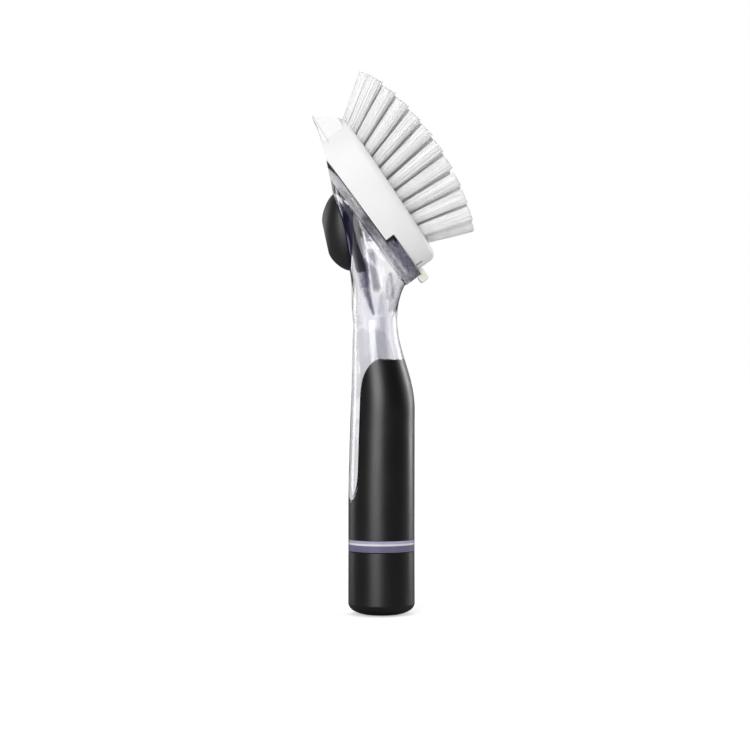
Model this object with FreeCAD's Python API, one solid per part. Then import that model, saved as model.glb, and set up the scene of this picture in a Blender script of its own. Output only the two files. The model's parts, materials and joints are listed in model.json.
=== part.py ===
import FreeCAD, Part
import os
from math import cos, hypot, pi, radians, sin, tan
from FreeCAD import Placement, Rotation, Vector

# Soap-dispensing dish wand, standing on its base cap. Millimetres.
# +Z runs up the handle, +X is the bristle side, -X the thumb button side, XZ the mirror plane.

# Base cap, clear band and grip
barrel_radius = 14.4
cap_height = 27.6
cap_edge = 4.4
cap_wall = 1.4
cap_floor = 2.4
core_wall = 1.2
core_floor = 1.6
seal_thickness = 1.6
band_height = 5.0
grip_thickness = 1.5
wall = 2.2

# Screw neck
neck_end = 14.0
neck_wall = 1.8
neck_flare = 4.0
thread_pitch = 4.0
thread_turns = 1.5
thread_height = 0.9
thread_root = 1.6
thread_crest = 0.8
thread_offset = 2.4
thread_sink = 0.3

# Side outline of the handle
taper_z = 45.0
shoulder_z = 90.0
waist_z = 127.0
waist_front = 6.8
waist_back = 12.4
waist_half_width = 10.0

# Window in the grip, on the button side
window_bottom = 48.2
window_bottom_rise = 0.4
window_start = 15.0
window_foot = 64.0
window_foot_pull = 9.9
window_foot_edge = 9.6
window_head = 93.0
window_head_edge = 8.7
window_head_pull = 8.2
window_corner = 8.5
grip_top = 109.8
grip_top_rise = 0.04

# Slanted head: tilt of its plate from the vertical and the nose point of the plate line
head_tilt = 36.25
nose_x = -23.6
nose_z = 195.3
mating_height = 0.1
plate_thickness = 3.75
web_thickness = 1.6
plate_nose = -0.6
plate_heel = 63.0
plate_half_width = 17.8
plate_roundness = 2.5
scoop_heel = 62.4
scoop_half_width = 16.8
scoop_roundness = 3.0
back_lean = 12.0
back_x = -13.6
back_z = 148.0
neck_blend = 0.65
side_blend = 0.85
heel_wall_start = 43.2
heel_wall_height = 3.9
heel_wall_thickness = 2.4
peg_radius = 1.5
peg_height = 2.5
peg_places = (14.0, 49.0)

# Thumb button on the back wall
button_z = 165.3
button_half_length = 17.0
button_half_width = 11.5
button_rise = 7.3
button_lean = 0.8
# Sections of the button: share of its rise, share of its plan
button_steps = ((0.0, 1.0), (0.27, 0.93), (0.6, 0.78), (0.86, 0.6), (1.0, 0.4))
button_skirt = 2.6
button_skin = 1.8
button_travel = 2.0
collar_wall = 1.2
collar_depth = 6.5
collar_floor = 1.0

# Valve on the button axis
stem_radius = 1.7
stem_socket_top = -4.5
spring_pocket_top = -1.5
spring_pocket_radius = 5.2
spring_wire = 0.7
spring_radius = 3.6
spring_turns = 4
guide_radius = 4.2
guide_length = 1.6
stem_seal_section = 1.3
seat_sink = 2.4
seat_thickness = 2.0
seat_radius = 4.5
seat_bore = 2.5
seat_boss_wall = 2.0
stopper_radius = 3.6
stopper_thickness = 1.8
stopper_socket = 1.0

# Brush head
block_nose = -12.0
block_heel = 60.6
block_half_width = 18.7
block_roundness = 2.5
block_height = 16.7
block_edge = 3.0
face_slope = 2.4
block_wall = 3.5
recess_height = 6.0
outlet_radius = 6.2
outlet_height = 5.6
gasket_width = 2.0
gasket_thickness = 1.0
soap_hole_radius = 2.0
boss_wall = 1.6
soap_hole_wall = 0.8
scraper_tip = -19.2
scraper_tip_height = 6.4
scraper_tip_half = 9.0
scraper_edge = 0.5
scraper_crown = 25.0
beak_start = -7.0
beak_half = 11.8
beak_pull = 4.0
beak_lift = 2.0
beak_shoulder = 4.4
beak_drop = 1.4
# Underside of the nose from the plate to the scraper, as places and heights
chin = ((-7.8, 3.4), (-14.3, 5.5))

# Bristles
tuft_columns = 11
tuft_first = -10.2
tuft_pitch = 5.81
tuft_nose_place = -8.7
tuft_row_pitch = 6.0
tuft_row_steps = (-1.5, -0.5, 0.5, 1.5)
tuft_splay = 5.0
# Lean and free length at the first and the last place of the fan
fan_first = -4.4
fan_last = 47.9
fan_first_tilt = 28.0
fan_last_tilt = -17.5
fan_first_length = 24.0
fan_last_length = 22.9
fan_crown = 3.8
tuft_root_radius = 2.2
tuft_tip_radius = 3.0
tuft_root_depth = 5.4
anchor_height = 1.5
anchor_thickness = 0.5

# Release tab at the heel
tab_pivot = 55.5
tab_half_width = 4.5
tab_thickness = 1.9
tab_lip = 3.0
tab_drop = 4.0
tab_trunnion = 0.8
tab_trunnion_reach = 1.5
tab_room = 0.9

# Clearances
run_gap = 0.3
bond_gap = 0.05
slack = 0.1
reach = 60.0

section_points = 32
barrel_sections = 14
fan_sections = 7
y_axis = Vector(0, 1, 0)

core_outer = barrel_radius - cap_wall
core_bore = core_outer - core_wall
neck_radius = core_bore - run_gap - thread_height
neck_bore = neck_radius - neck_wall
neck_length = cap_height - neck_end
grip_bottom = cap_height + band_height
barrel_bore = barrel_radius - grip_thickness - wall

tilt = radians(head_tilt)
nose = Vector(nose_x, 0, nose_z)
along = Vector(sin(tilt), 0, -cos(tilt))
outward = Vector(cos(tilt), 0, sin(tilt))
head_frame = Placement(nose, Rotation(y_axis, 90.0 - head_tilt))
weld_height = mating_height - plate_thickness
web_height = mating_height - web_thickness

lean = radians(back_lean)
wall_normal = Vector(cos(lean), 0, sin(lean))
button_centre = Vector(back_x - (button_z - back_z) * tan(lean), 0, button_z)
button_frame = Placement(button_centre, Rotation(y_axis, 90.0 - back_lean))

# From the button along the valve axis to the mating plane and to the valve seat
valve_reach = (nose.sub(button_centre).dot(outward) + mating_height) / wall_normal.dot(outward)
seat_face = valve_reach - seat_sink

# The fan of sections from neck to head turns about this point
fan_reach = (nose_z + weld_height * sin(tilt) - waist_z) / cos(tilt)
fan_pivot = nose + along * fan_reach + outward * weld_height
fan_angle = radians(90.0 - head_tilt)


def ease(share):
    share = min(max(share, 0.0), 1.0)
    return share * share * (3.0 - 2.0 * share)


def signed_power(value, power):
    return abs(value) ** power * (1 if value >= 0 else -1)


def closed_wire(points):
    curve = Part.BSplineCurve()
    curve.interpolate(points, PeriodicFlag=True)
    return Part.Wire([curve.toShape()])


def oval_points(roundness):
    # Superellipse of unit half axes, from its front end round.
    angles = [2.0 * pi * step / section_points for step in range(section_points)]
    power = 2.0 / roundness
    return [(signed_power(cos(angle), power), signed_power(sin(angle), power)) for angle in angles]


def upright_section(z, inset):
    # Level section of the handle: circle on the barrel, narrowing to the waist.
    narrowing = ease((z - shoulder_z) / (waist_z - shoulder_z))
    tapering = ease((z - taper_z) / (waist_z - taper_z))
    front = barrel_radius + (waist_front - barrel_radius) * narrowing - inset
    side = barrel_radius + (waist_half_width - barrel_radius) * narrowing - inset
    back = barrel_radius + (waist_back - barrel_radius) * tapering - inset
    middle = (front - back) / 2.0
    half = (front + back) / 2.0
    return closed_wire([Vector(middle + half * u, side * v, z) for u, v in oval_points(2.0)])


def fan_section(share, inset):
    # Section on a plane through the fan pivot, from the level waist to the slanted plate.
    angle = share * fan_angle
    ray = Vector(-cos(angle), 0, sin(angle))
    straight_back = Vector(back_x, 0, back_z).sub(fan_pivot).dot(wall_normal)
    waist_reach = fan_pivot.x + waist_back
    bulge = (waist_reach + straight_back / cos(lean)) * (1.0 - ease(share / neck_blend))
    back = straight_back / ray.dot(wall_normal) + bulge - inset / cos(angle + lean * share)
    front = fan_pivot.x - waist_front
    front = front + (fan_reach - scoop_heel - front) * share * share + inset
    side = waist_half_width + (scoop_half_width - waist_half_width) * ease(share / side_blend) - inset
    roundness = 2.0 + (scoop_roundness - 2.0) * ease(share)
    middle = (back + front) / 2.0
    half = (back - front) / 2.0
    places = [(middle - half * u, side * v) for u, v in oval_points(roundness)]
    return closed_wire([fan_pivot + ray * place + y_axis * y for place, y in places])


def handle_form(bottom, barrel_inset, head_inset):
    # Smooth body from the barrel through the waist to the plate plane.
    wires = []
    for step in range(barrel_sections):
        z = bottom + (waist_z - bottom) * step / barrel_sections
        inset = barrel_inset + (head_inset - barrel_inset) * ease((z - window_head) / (waist_z - window_head))
        wires.append(upright_section(z, inset))
    wires += [fan_section(step / fan_sections, head_inset) for step in range(fan_sections + 1)]
    return Part.makeLoft(wires, True, False)


def barrel_core():
    # What the grip is moulded on, a little longer than the grip at both ends.
    top = grip_top + barrel_radius / 2
    levels = [cap_height + (top - cap_height) * step / barrel_sections for step in range(barrel_sections + 1)]
    return Part.makeLoft([upright_section(z, grip_thickness) for z in levels], True, False)


def prism(wire, direction):
    return Part.Face(wire).extrude(direction)


def plan_oval(nose_end, heel_end, half_width, roundness, height, inset=0.0):
    # Oval in the head frame: first axis runs from nose to heel, second across.
    middle = (nose_end + heel_end) / 2.0
    half = (heel_end - nose_end) / 2.0 - inset
    points = [(middle - half * u, (half_width - inset) * v) for u, v in oval_points(roundness)]
    return closed_wire([Vector(x, y, height) for x, y in points])


def plan_prism(oval, bottom, top, inset=0.0):
    return prism(plan_oval(*oval, bottom, inset), Vector(0, 0, top - bottom))


def on_head(shape):
    shape.Placement = head_frame
    return shape


def on_button(shape):
    shape.Placement = button_frame
    return shape


def button_oval(margin, z):
    oval = Part.Ellipse(Vector(0, 0, z), button_half_length + margin, button_half_width + margin)
    return Part.Wire([oval.toShape()])


def button_prism(margin, bottom, top):
    return on_button(prism(button_oval(margin, bottom), Vector(0, 0, top - bottom)))


def button_rod(radius, bottom, top):
    return on_button(Part.makeCylinder(radius, top - bottom, Vector(0, 0, bottom)))


def below_plate(height):
    # Everything on the handle side of a plane parallel to the head plate.
    return on_head(Part.makeBox(4 * reach, 2 * reach, reach, Vector(-2 * reach, -reach, height - reach)))


def thread_ridge(radius, height, start):
    # Helical ridge that stands out of a wall of this radius, or in where the height is negative.
    sink = -thread_sink if height > 0 else thread_sink
    corners = [(radius + sink, -thread_root / 2), (radius + sink, thread_root / 2)]
    corners += [(radius + height, thread_crest / 2), (radius + height, -thread_crest / 2)]
    profile = Part.makePolygon([Vector(x, 0, z) for x, z in corners + corners[:1]])
    path = Part.Wire(Part.makeHelix(thread_pitch, thread_pitch * thread_turns, radius).Edges)
    ridge = path.makePipeShell([profile], True, True)
    ridge.translate(Vector(0, 0, start))
    return ridge


def grip_zone():
    # Side outline of the grip with its window, across the whole handle, outside the barrel core.
    side = barrel_radius + reach
    foot = Part.BezierCurve()
    foot.setPoles([
        Vector(-window_start, -reach, window_bottom),
        Vector(-window_foot_pull, -reach, window_bottom + window_bottom_rise),
        Vector(-window_foot_edge, -reach, window_foot),
    ])
    head = Part.BezierCurve()
    head.setPoles([
        Vector(-window_head_edge, -reach, window_head),
        Vector(-window_head_pull, -reach, grip_top),
        Vector(window_corner - window_head_edge, -reach, grip_top),
    ])
    corners = [
        head.EndPoint,
        Vector(side, -reach, grip_top + grip_top_rise * side),
        Vector(side, -reach, grip_bottom),
        Vector(-side, -reach, grip_bottom),
        Vector(-side, -reach, window_bottom),
        foot.StartPoint,
    ]
    edges = [foot.toShape(), Part.makeLine(foot.EndPoint, head.StartPoint), head.toShape()]
    edges += [Part.makeLine(start, end) for start, end in zip(corners, corners[1:])]
    return prism(Part.Wire(edges), Vector(0, 2 * reach, 0)).cut(barrel_core())


def cap_cover():
    body = Part.makeCylinder(barrel_radius, cap_height)
    foot = [edge for edge in body.Edges if edge.BoundBox.ZMax < slack]
    body = body.makeFillet(cap_edge, foot)
    return body.cut(Part.makeCylinder(core_outer, cap_height, Vector(0, 0, cap_floor)))


def cap_core():
    top = cap_height - seal_thickness
    cup = Part.makeCylinder(core_outer - bond_gap, top - cap_floor, Vector(0, 0, cap_floor))
    cup = cup.cut(Part.makeCylinder(core_bore, top, Vector(0, 0, cap_floor + core_floor)))
    start = neck_end + thread_offset + thread_pitch / 2.0
    return cup.fuse(thread_ridge(core_bore, -thread_height, start)).removeSplitter()


def cap_seal():
    base = Vector(0, 0, cap_height - seal_thickness)
    ring = Part.makeCylinder(core_outer - slack, seal_thickness, base)
    return ring.cut(Part.makeCylinder(core_bore, seal_thickness, base))


def reservoir():
    # Hollow of the barrel and the scoop.
    return handle_form(grip_bottom + neck_flare, grip_thickness + wall, wall)


def screw_neck():
    neck = Part.makeCylinder(neck_radius, neck_length + slack, Vector(0, 0, neck_end))
    return neck.fuse(thread_ridge(neck_radius, thread_height, neck_end + thread_offset))


def handle_shell(form, zone):
    port = button_prism(collar_wall + run_gap + bond_gap, -reach / 4, collar_depth)
    body = form.cut(zone).cut(reservoir()).cut(port).fuse(screw_neck())
    bore = Part.makeCylinder(neck_bore, grip_bottom - neck_end + slack, Vector(0, 0, neck_end))
    flare = Part.makeCone(neck_bore, barrel_bore - slack, neck_flare + slack, Vector(0, 0, grip_bottom))
    return body.cut([bore, flare])


def head_plate():
    oval = (plate_nose, plate_heel, plate_half_width, plate_roundness)
    slab = plan_prism(oval, weld_height, mating_height)
    outer = plan_prism(oval, weld_height + slack, mating_height + heel_wall_height)
    inner = plan_prism(oval, weld_height, mating_height + reach, heel_wall_thickness)
    heel = Part.makeBox(reach, 2 * reach, reach, Vector(heel_wall_start, -reach, weld_height))
    slab = slab.fuse(outer.cut(inner).common(heel))
    for place in peg_places:
        peg = Part.makeCylinder(peg_radius, peg_height + web_thickness / 2, Vector(place, 0, mating_height))
        peg.translate(Vector(0, 0, -web_thickness / 2))
        slab = slab.fuse(peg)
    slab = on_head(slab)
    hollow = Part.Face(fan_section(1.0, wall)).extrude(outward * (plate_thickness - web_thickness))
    boss = button_rod(seat_radius + seat_boss_wall, seat_face - seat_thickness - slack, reach / 2)
    boss = boss.common(below_plate(mating_height))
    bore = button_rod(seat_radius + bond_gap, 0.0, reach)
    back = Part.makeBox(reach, 2 * reach, 4 * reach, Vector(-reach, -reach, -2 * reach))
    back.Placement = Placement(button_centre, Rotation(y_axis, -back_lean))
    return slab.cut(hollow).fuse(boss).cut(bore).cut(back).removeSplitter()


def button_collar(form):
    outer = button_prism(collar_wall + run_gap, -button_rise, collar_depth)
    outer = outer.common(below_plate(web_height - run_gap)).common(form)
    inner = button_prism(run_gap, -reach / 2, collar_depth - collar_floor)
    inner = inner.common(below_plate(web_height - run_gap - collar_floor))
    guide = button_rod(guide_radius, collar_depth - collar_floor, collar_depth + guide_length)
    bore = button_rod(stem_radius + run_gap, 0.0, reach)
    pocket_top = collar_depth + guide_length - stem_seal_section - slack
    pocket = button_rod(stem_radius + stem_seal_section + run_gap + bond_gap, pocket_top, reach)
    return outer.cut(inner).fuse(guide).cut([bore, pocket]).removeSplitter()


def stem_seal():
    centre = stem_radius + stem_seal_section / 2 + run_gap / 2
    height = collar_depth + guide_length - stem_seal_section / 2 - bond_gap
    return on_button(Part.makeTorus(centre, stem_seal_section / 2, Vector(0, 0, height)))


def valve_seat():
    bottom = seat_face - seat_thickness
    return button_rod(seat_radius, bottom, seat_face).cut(button_rod(seat_bore, bottom, seat_face))


def dome(inset):
    # Thumb pillow: rising ovals from the skirt to a flat saddle.
    top = button_rise - inset
    wires = [button_oval(-inset, button_skirt)]
    for rise, share in button_steps:
        length = button_half_length * share - inset
        width = button_half_width * share - inset
        centre = Vector(button_lean * rise, 0, -top * rise)
        wires.append(Part.Wire([Part.Ellipse(centre, length, width).toShape()]))
    skirt = Part.makeLoft(wires[:2], True, True)
    pillow = Part.makeLoft(wires[1:], True, False)
    limit = web_height - run_gap - collar_floor - run_gap - button_travel * cos(tilt - lean)
    return on_button(skirt.fuse(pillow).removeSplitter()).common(below_plate(limit))


def button_cover():
    return dome(0.0).cut(dome(button_skin))


def button_core():
    socket = button_rod(stem_radius + bond_gap, stem_socket_top, reach)
    pocket = button_rod(spring_pocket_radius, spring_pocket_top, reach)
    return dome(button_skin).cut([socket, pocket])


def plunger_stem():
    return button_rod(stem_radius, stem_socket_top, seat_face + stopper_socket)


def valve_stopper():
    plug = button_rod(stopper_radius, seat_face, seat_face + stopper_thickness)
    return plug.cut(button_rod(stem_radius + bond_gap, seat_face, seat_face + stopper_socket))


def biarc(start, start_way, end, end_way):
    # Two tangent arcs that leave the start and reach the end along the given ways.
    chord = end.sub(start)
    ways = start_way + end_way
    square = 2.0 * start_way.dot(end_way) - 2.0
    half = chord.dot(ways)
    length = (half - (half * half - square * chord.dot(chord)) ** 0.5) / square
    first = start + start_way * length
    second = end.sub(end_way * length)
    joint = (first + second) * 0.5
    arcs = []
    for left, corner, right in ((start, first, joint), (joint, second, end)):
        middle = (left + right) * 0.5
        cosine = left.distanceToPoint(right) / 2.0 / length
        crown = middle + (corner.sub(middle)) * (cosine / (1.0 + cosine))
        arcs.append(Part.Arc(left, crown, right).toShape())
    return arcs


def return_spring():
    bottom = spring_pocket_top + spring_wire / 2 + bond_gap
    top = collar_depth - collar_floor - spring_wire / 2 - bond_gap
    quarters = 4 * spring_turns
    climb = (top - bottom) / quarters
    rise = climb / (pi / 2)
    places = []
    for step in range(quarters + 1):
        angle = step * pi / 2
        point = Vector(spring_radius * cos(angle), spring_radius * sin(angle), bottom + climb * step)
        way = Vector(-spring_radius * sin(angle), spring_radius * cos(angle), rise)
        places.append((point, way.normalize()))
    edges = []
    for start, end in zip(places, places[1:]):
        edges += biarc(*start, *end)
    circle = Part.Circle(places[0][0], places[0][1], spring_wire / 2)
    coil = Part.Wire(edges).makePipeShell([Part.Wire([circle.toShape()])], True, False)
    print("spring gap between turns", round(4 * climb - spring_wire, 3))
    return on_button(coil)


def face_height(place):
    return block_height - place * tan(radians(face_slope))


def block_body():
    oval = (block_nose, block_heel, block_half_width, block_roundness)
    body = plan_prism(oval, mating_height, block_height + reach / 4)
    lid = Part.makeBox(4 * reach, 2 * reach, reach, Vector(-2 * reach, -reach, 0))
    lid.Placement = Placement(Vector(0, 0, block_height), Rotation(y_axis, face_slope))
    body = body.cut(lid)
    rim = [edge for edge in body.Edges if edge.BoundBox.ZMin > block_height / 2 and edge.Length > reach]
    return body.makeFillet(block_edge, rim)


def beak():
    # Scraper, narrowing in plan to its straight working edge and crowned across.
    plan = [(scraper_tip, scraper_tip_half), (beak_start, beak_half)]
    plan += [(x, -y) for x, y in reversed(plan)]
    outline = Part.makePolygon([Vector(x, y, mating_height) for x, y in plan + plan[:1]])
    top = face_height(beak_start)
    start = Vector(scraper_tip - slack, 0, top - scraper_crown)
    crown = Part.makeCylinder(scraper_crown, reach, start, Vector(1, 0, 0))
    return prism(outline, Vector(0, 0, top)).common(crown)


def side_profile():
    # Side outline of the head with the hollow upper face of the scraper and the chin below it.
    top = Vector(beak_start, -reach, face_height(beak_start))
    upper = Part.BezierCurve()
    upper.setPoles([
        Vector(scraper_tip, -reach, scraper_tip_height + scraper_edge),
        Vector(scraper_tip + beak_pull, -reach, scraper_tip_height + beak_lift),
        Vector(scraper_tip + beak_shoulder, -reach, top.z - beak_drop),
        top,
    ])
    corners = [
        top,
        top + Vector(0, 0, reach),
        Vector(2 * reach, -reach, top.z + reach),
        Vector(2 * reach, -reach, mating_height),
        Vector(0, -reach, mating_height),
    ]
    corners += [Vector(x, -reach, z) for x, z in chin]
    corners += [Vector(scraper_tip, -reach, scraper_tip_height), upper.StartPoint]
    edges = [upper.toShape()] + [Part.makeLine(start, end) for start, end in zip(corners, corners[1:])]
    return prism(Part.Wire(edges), Vector(0, 2 * reach, 0))


def soap_place():
    # Where the valve axis crosses the mating plane, in the head frame.
    return head_frame.inverse().multVec(button_centre + wall_normal * valve_reach)


def tuft_frames():
    # One list per cross row of placements at the bristle face, each with its free length.
    # Inner tufts stand half a pitch behind the outer ones, and none stands in the soap hole.
    rows = []
    hole = soap_place().x
    clear = soap_hole_radius + tuft_root_radius + soap_hole_wall
    for column in range(tuft_columns):
        row = []
        for step in tuft_row_steps:
            outer = abs(step) > 1
            place = tuft_first + tuft_pitch * (column if outer else column + 0.5)
            if column == 0:
                place = tuft_nose_place
            across = step * tuft_row_pitch
            if (outer and column == 0) or hypot(place - hole, across) < clear:
                continue
            share = (place - fan_first) / (fan_last - fan_first)
            length = fan_first_length + (fan_last_length - fan_first_length) * share
            length += fan_crown * 4.0 * share * (1.0 - share)
            lean_back = fan_first_tilt + (fan_last_tilt - fan_first_tilt) * share
            turn = Rotation(y_axis, -lean_back).multiply(Rotation(Vector(1, 0, 0), -tuft_splay * step))
            row.append((Placement(Vector(place, across, face_height(place)), turn), length))
        rows.append(row)
    return rows


def tuft(frame, length):
    profile = [(0, -tuft_root_depth), (tuft_root_radius, -tuft_root_depth), (tuft_root_radius, 0)]
    profile += [(tuft_tip_radius, length), (0, length)]
    outline = Part.makePolygon([Vector(x, 0, z) for x, z in profile + profile[:1]])
    body = Part.Face(outline).revolve(Vector(0, 0, 0), Vector(0, 0, 1), 360)
    body.Placement = head_frame.multiply(frame)
    return body


def tuft_hole(frame):
    depth = tuft_root_depth + anchor_height
    hole = Part.makeCylinder(tuft_root_radius + slack, depth + reach / 6, Vector(0, 0, -depth))
    hole.Placement = frame
    return hole


def anchor(frame):
    width = 2 * tuft_root_radius - 2 * slack
    plate = Part.makeBox(anchor_thickness, width, anchor_height)
    plate.translate(Vector(-anchor_thickness / 2, -width / 2, -tuft_root_depth - anchor_height))
    plate.Placement = head_frame.multiply(frame).multiply(plate.Placement)
    return plate


def tab_height():
    return mating_height + heel_wall_height + run_gap


def tab_cuts():
    # Room for the release tab and its trunnions in the heel of the block.
    bottom = tab_height() - run_gap
    room = tab_thickness + tab_room + run_gap
    half = tab_half_width + run_gap
    start = tab_pivot - tab_thickness / 2 - run_gap
    slot = Part.makeBox(reach, 2 * half, room, Vector(start, -half, bottom))
    axle = Vector(tab_pivot, -half - tab_trunnion_reach, tab_height() + tab_thickness / 2)
    bearing = Part.makeCylinder(tab_trunnion + bond_gap, 2 * (half + tab_trunnion_reach), axle, y_axis)
    return [slot, bearing]


def release_tab():
    bottom = tab_height()
    outer = plate_heel + run_gap
    arm = Part.makeBox(outer + tab_lip - tab_pivot, 2 * tab_half_width, tab_thickness)
    arm.translate(Vector(tab_pivot, -tab_half_width, bottom))
    lip = Part.makeBox(tab_lip, 2 * tab_half_width, tab_drop)
    lip.translate(Vector(outer, -tab_half_width, bottom + tab_thickness - tab_drop))
    centre = bottom + tab_thickness / 2
    root = Vector(tab_pivot, -tab_half_width, centre)
    knuckle = Part.makeCylinder(tab_thickness / 2, 2 * tab_half_width, root, y_axis)
    half = tab_half_width + tab_trunnion_reach
    pin = Part.makeCylinder(tab_trunnion, 2 * half, Vector(tab_pivot, -half, centre), y_axis)
    tab = arm.fuse([lip, knuckle, pin]).removeSplitter()
    ends = [e for e in tab.Edges if e.BoundBox.XMin > outer + tab_lip - slack and e.BoundBox.YLength > slack]
    return on_head(tab.makeFillet(tab_thickness / 2, ends))


def brush_block(frames):
    body = block_body().fuse(beak()).common(side_profile()).removeSplitter()
    oval = (block_nose, block_heel, block_half_width, block_roundness)
    plate = (plate_nose, plate_heel, plate_half_width, plate_roundness)
    place = soap_place()
    recess = plan_prism(oval, mating_height - slack, recess_height, block_wall)
    heel = Part.makeBox(reach, 2 * reach, reach, Vector(heel_wall_start, -reach, -reach / 2))
    keep = [Part.makeCylinder(outlet_radius + gasket_width + boss_wall, reach / 2, Vector(place.x, 0, 0)), heel]
    keep += [Part.makeCylinder(peg_radius + run_gap + boss_wall, reach / 2, Vector(x, 0, 0)) for x in peg_places]
    keep.append(Part.makeBox(reach, 2 * reach, reach, Vector(-reach, -reach, -reach / 2)))
    recess = recess.cut(keep)
    rebate_top = mating_height + heel_wall_height + run_gap
    rebate = Part.makeBox(reach, 2 * reach, rebate_top, Vector(heel_wall_start - run_gap, -reach, 0))
    rebate = rebate.cut(plan_prism(plate, -slack, reach, heel_wall_thickness + run_gap))
    cuts = [recess, rebate]
    cuts.append(Part.makeCylinder(outlet_radius, outlet_height - mating_height + slack, place))
    cuts[-1].translate(Vector(0, 0, -slack))
    gasket_seat = outlet_radius + gasket_width + bond_gap
    cuts.append(Part.makeCylinder(gasket_seat, gasket_thickness + slack, place - Vector(0, 0, slack)))
    cuts.append(Part.makeCylinder(soap_hole_radius, reach, place))
    for x in peg_places:
        socket = Part.makeCylinder(peg_radius + run_gap, peg_height + run_gap + slack, Vector(x, 0, mating_height))
        socket.translate(Vector(0, 0, -slack))
        cuts.append(socket)
    cuts += tab_cuts()
    cuts += [tuft_hole(frame) for row in frames for frame, length in row]
    return on_head(body.cut(cuts))


def outlet_gasket():
    place = soap_place()
    ring = Part.makeCylinder(outlet_radius + gasket_width, gasket_thickness, place)
    return on_head(ring.cut(Part.makeCylinder(outlet_radius, gasket_thickness, place)))


def all_parts():
    form = handle_form(cap_height, 0.0, 0.0)
    zone = grip_zone()
    frames = tuft_frames()
    parts = {
        "cap_cover": cap_cover(),
        "cap_core": cap_core(),
        "cap_seal": cap_seal(),
        "handle_shell": handle_shell(form, zone),
        "grip_sleeve": form.common(zone),
        "head_plate": head_plate(),
        "button_collar": button_collar(form),
        "stem_seal": stem_seal(),
        "valve_seat": valve_seat(),
        "return_spring": return_spring(),
        "button_cover": button_cover(),
        "button_core": button_core(),
        "plunger_stem": plunger_stem(),
        "valve_stopper": valve_stopper(),
        "brush_block": brush_block(frames),
        "outlet_gasket": outlet_gasket(),
        "tuft_anchors": Part.makeCompound([anchor(frame) for row in frames for frame, length in row]),
        "release_tab": release_tab(),
    }
    for number, row in enumerate(frames, 1):
        parts[f"tuft_row_{number:02d}"] = Part.makeCompound([tuft(frame, length) for frame, length in row])
    return parts


os.makedirs("parts", exist_ok=True)
for name, shape in all_parts().items():
    solids = shape.Solids
    shape = solids[0] if len(solids) == 1 else Part.makeCompound(solids)
    shape.exportStep(f"parts/{name}.step")
    print(name, len(solids), "solids,", round(shape.Volume), "mm3", "" if shape.isValid() else "NOT VALID")
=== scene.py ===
import json
import math
import bmesh
import bpy
import numpy as np
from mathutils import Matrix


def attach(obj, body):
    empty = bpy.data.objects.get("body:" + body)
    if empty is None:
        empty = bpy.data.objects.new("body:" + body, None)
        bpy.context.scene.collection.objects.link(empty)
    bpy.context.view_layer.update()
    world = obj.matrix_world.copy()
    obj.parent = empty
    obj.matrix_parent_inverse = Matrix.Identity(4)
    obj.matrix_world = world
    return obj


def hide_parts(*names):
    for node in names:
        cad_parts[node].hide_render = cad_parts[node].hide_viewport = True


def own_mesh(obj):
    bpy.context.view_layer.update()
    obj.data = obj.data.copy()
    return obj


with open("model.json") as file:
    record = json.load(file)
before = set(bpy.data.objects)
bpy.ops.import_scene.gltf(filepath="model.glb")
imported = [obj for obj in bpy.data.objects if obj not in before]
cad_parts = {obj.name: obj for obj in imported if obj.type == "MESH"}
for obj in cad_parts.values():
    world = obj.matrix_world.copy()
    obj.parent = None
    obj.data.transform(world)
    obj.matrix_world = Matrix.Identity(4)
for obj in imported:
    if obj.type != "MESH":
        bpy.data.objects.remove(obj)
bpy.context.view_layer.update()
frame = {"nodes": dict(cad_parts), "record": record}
scene = bpy.context.scene
mm = 0.001

# Slanted head: first axis from nose to heel, second across, third out of the bristle face
headAxes = {"nose": (-23.6, 0.0, 195.3), "tilt": 36.25}


def headTurn():
    # columns are the along, across and outward directions in the world
    tilt = math.radians(headAxes["tilt"])
    return np.array([
        [math.sin(tilt), 0.0, math.cos(tilt)],
        [0.0, 1.0, 0.0],
        [-math.cos(tilt), 0.0, math.sin(tilt)],
    ])


def headToWorld(points):
    # head millimetres to world metres
    return (points @ headTurn().T + np.array(headAxes["nose"])) * mm


def meshPiece(name, points, faces, body, nodes, material):
    # one finished object: points in world metres, faces as lists of indices
    mesh = bpy.data.meshes.new(name)
    mesh.from_pydata(points.reshape(-1, 3).tolist(), [], faces)
    mesh.polygons.foreach_set("use_smooth", np.ones(len(mesh.polygons), dtype=bool))
    mesh.materials.append(material)
    mesh.update()
    obj = bpy.data.objects.new(name, mesh)
    scene.collection.objects.link(obj)
    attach(obj, body)
    if nodes:
        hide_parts(*nodes)
    return obj


def addSocket(group, name, way, kind, value=None):
    # one named socket of a group, with its starting value
    socket = group.interface.new_socket(name=name, in_out=way, socket_type=kind)
    if value is not None:
        socket.default_value = value
    return socket


def addNode(tree, kind, **settings):
    # new node; a setting named like an input fills that input, any other is set on the node itself
    node = tree.nodes.new(kind)
    for key, value in settings.items():
        if key in node.inputs:
            node.inputs[key].default_value = value
        else:
            setattr(node, key, value)
    return node


def mathNode(tree, operation, first, second=None, third=None):
    # one arithmetic step on sockets or plain numbers
    node = addNode(tree, "ShaderNodeMath", operation=operation)
    for place, value in enumerate((first, second, third)):
        if isinstance(value, (int, float)):
            node.inputs[place].default_value = value
        elif value is not None:
            tree.links.new(value, node.inputs[place])
    return node.outputs[0]


def rampNode(tree, value, low, high):
    # smooth step from 0 at low to 1 at high
    node = addNode(tree, "ShaderNodeMapRange", interpolation_type="SMOOTHSTEP")
    tree.links.new(value, node.inputs["Value"])
    node.inputs["From Min"].default_value = min(low, high)
    node.inputs["From Max"].default_value = max(low, high)
    node.inputs["To Min"].default_value = 0.0 if low < high else 1.0
    node.inputs["To Max"].default_value = 1.0 if low < high else 0.0
    return node.outputs["Result"]


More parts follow.
